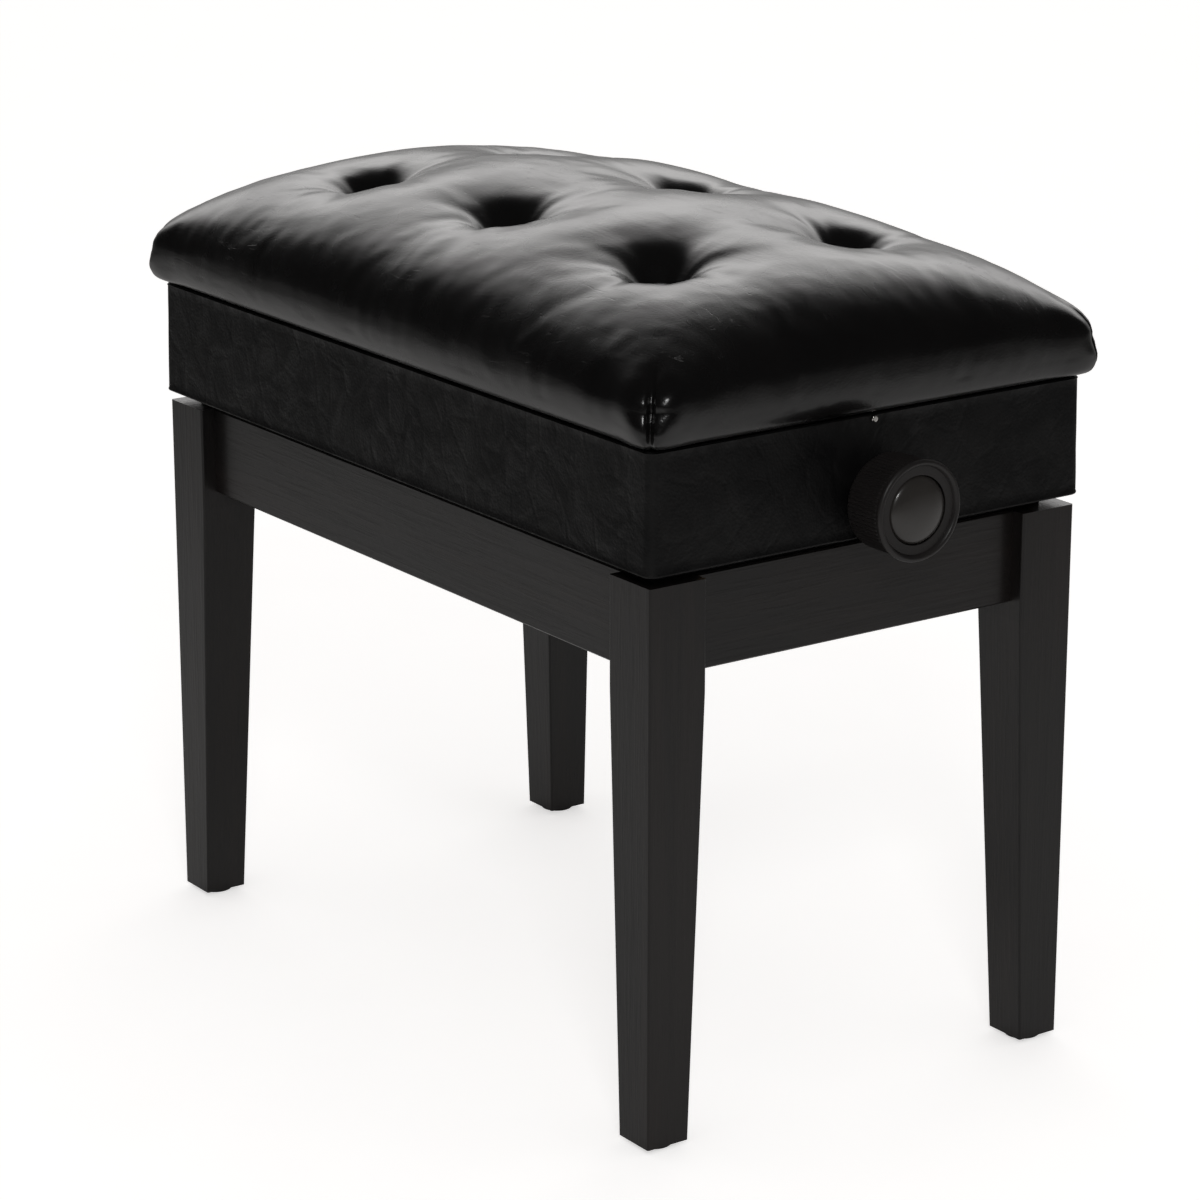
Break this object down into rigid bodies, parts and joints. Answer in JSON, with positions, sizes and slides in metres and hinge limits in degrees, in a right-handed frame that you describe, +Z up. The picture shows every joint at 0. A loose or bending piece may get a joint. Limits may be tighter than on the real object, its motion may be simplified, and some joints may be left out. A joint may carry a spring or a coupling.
{
  "type": "piano bench",
  "caption": "Low bench with a buttoned leather cushion on a leather-wrapped box, raised by an end knob through a scissor lift, on a black wooden leg frame.",
  "frame": {"origin": "on the floor under the middle of the bench", "axes": "+Z up, +X along the length towards the right-hand knob, -Y towards the front"},
  "size_m": [0.611, 0.328, 0.493],
  "materials": {
    "black_lacquer": "satin black lacquer on wood",
    "black_leather": "glossy black leather",
    "plywood": "bare plywood",
    "block_wood": "bare pine",
    "black_steel": "black powder coat",
    "zinc_steel": "zinc plated",
    "bright_steel": "oiled steel",
    "bronze": "plain bronze",
    "nylon": "natural nylon",
    "knob_plastic": "satin moulded",
    "cap_plastic": "satin moulded",
    "nickel": "polished",
    "foam": "open-cell foam",
    "twine": "waxed twine",
    "glide_plastic": "matt"
  },
  "bodies": {
    "leg_frame": {"leg_front_left": "black_lacquer", "leg_front_right": "black_lacquer", "leg_back_left": "black_lacquer", "leg_back_right": "black_lacquer", "rail_front": "black_lacquer", "rail_back": "black_lacquer", "rail_left": "black_lacquer", "rail_right": "black_lacquer", "foot_glides": "glide_plastic", "corner_brackets": "zinc_steel", "bracket_screws": "zinc_steel", "hanger_bolts": "zinc_steel", "bolt_washers": "zinc_steel", "wing_nuts": "zinc_steel", "base_rail_front": "black_steel", "base_rail_back": "black_steel", "base_end_left": "black_steel", "base_end_right": "black_steel", "base_screws": "zinc_steel", "spindle_bushes": "bronze", "lower_pivot_pins": "zinc_steel"},
    "lift_spindle": {"spindle": "bright_steel", "thrust_collars": "bright_steel", "knob_left": "knob_plastic", "knob_right": "knob_plastic", "knob_cap_left": "cap_plastic", "knob_cap_right": "cap_plastic", "knob_set_screws": "zinc_steel"},
    "outer_arms": {"outer_arm_front": "black_steel", "outer_arm_back": "black_steel", "mid_pivot_pins": "zinc_steel", "slide_pins": "zinc_steel", "slide_rollers": "nylon"},
    "inner_arms": {"inner_arm_front": "black_steel", "inner_arm_back": "black_steel"},
    "crosshead": {"crosshead_nut": "bright_steel", "cross_shafts": "bright_steel", "cross_shaft_clips": "zinc_steel"},
    "seat": {"lift_rail_front": "black_steel", "lift_rail_back": "black_steel", "lift_cross_straps": "black_steel", "top_pivot_shaft": "bright_steel", "top_shaft_clips": "zinc_steel", "lift_screws": "zinc_steel", "box_panel_front": "plywood", "box_panel_back": "plywood", "box_panel_left": "plywood", "box_panel_right": "plywood", "box_leather": "black_leather", "box_nails": "nickel", "corner_blocks": "block_wood", "block_screws": "zinc_steel", "seat_board": "plywood", "seat_foam": "foam", "seat_cover": "black_leather", "tuft_buttons": "black_leather", "button_ties": "twine"}
  },
  "joints": [
    {"name": "seat_lift", "type": "hinge", "parent": "leg_frame", "child": "outer_arms", "pos_m": [0.14925, 0, 0.3605], "axis": [0, 1, 0], "range_deg": [0, 18.8]},
    {"name": "scissor_cross", "type": "hinge", "parent": "outer_arms", "child": "inner_arms", "pos_m": [0, 0, 0.3755], "axis": [0, 1, 0], "range_deg": [-37.6, 0]},
    {"name": "crosshead_level", "type": "hinge", "parent": "inner_arms", "child": "crosshead", "pos_m": [-0.14925, 0, 0.3605], "axis": [0, 1, 0], "range_deg": [0, 18.8]},
    {"name": "seat_level", "type": "hinge", "parent": "inner_arms", "child": "seat", "pos_m": [0.14925, 0, 0.3905], "axis": [0, 1, 0], "range_deg": [0, 18.8]},
    {"name": "knob_turn", "type": "hinge", "parent": "leg_frame", "child": "lift_spindle", "pos_m": [0, 0, 0.3605], "axis": [1, 0, 0], "range_deg": [-3072, 0]}
  ],
  "couplings": [
    {"joint": "scissor_cross", "follows": "seat_lift", "ratio": -2},
    {"joint": "crosshead_level", "follows": "seat_lift", "ratio": 1},
    {"joint": "seat_level", "follows": "seat_lift", "ratio": 1},
    {"joint": "knob_turn", "follows": "seat_lift", "ratio": -163.36}
  ]
}
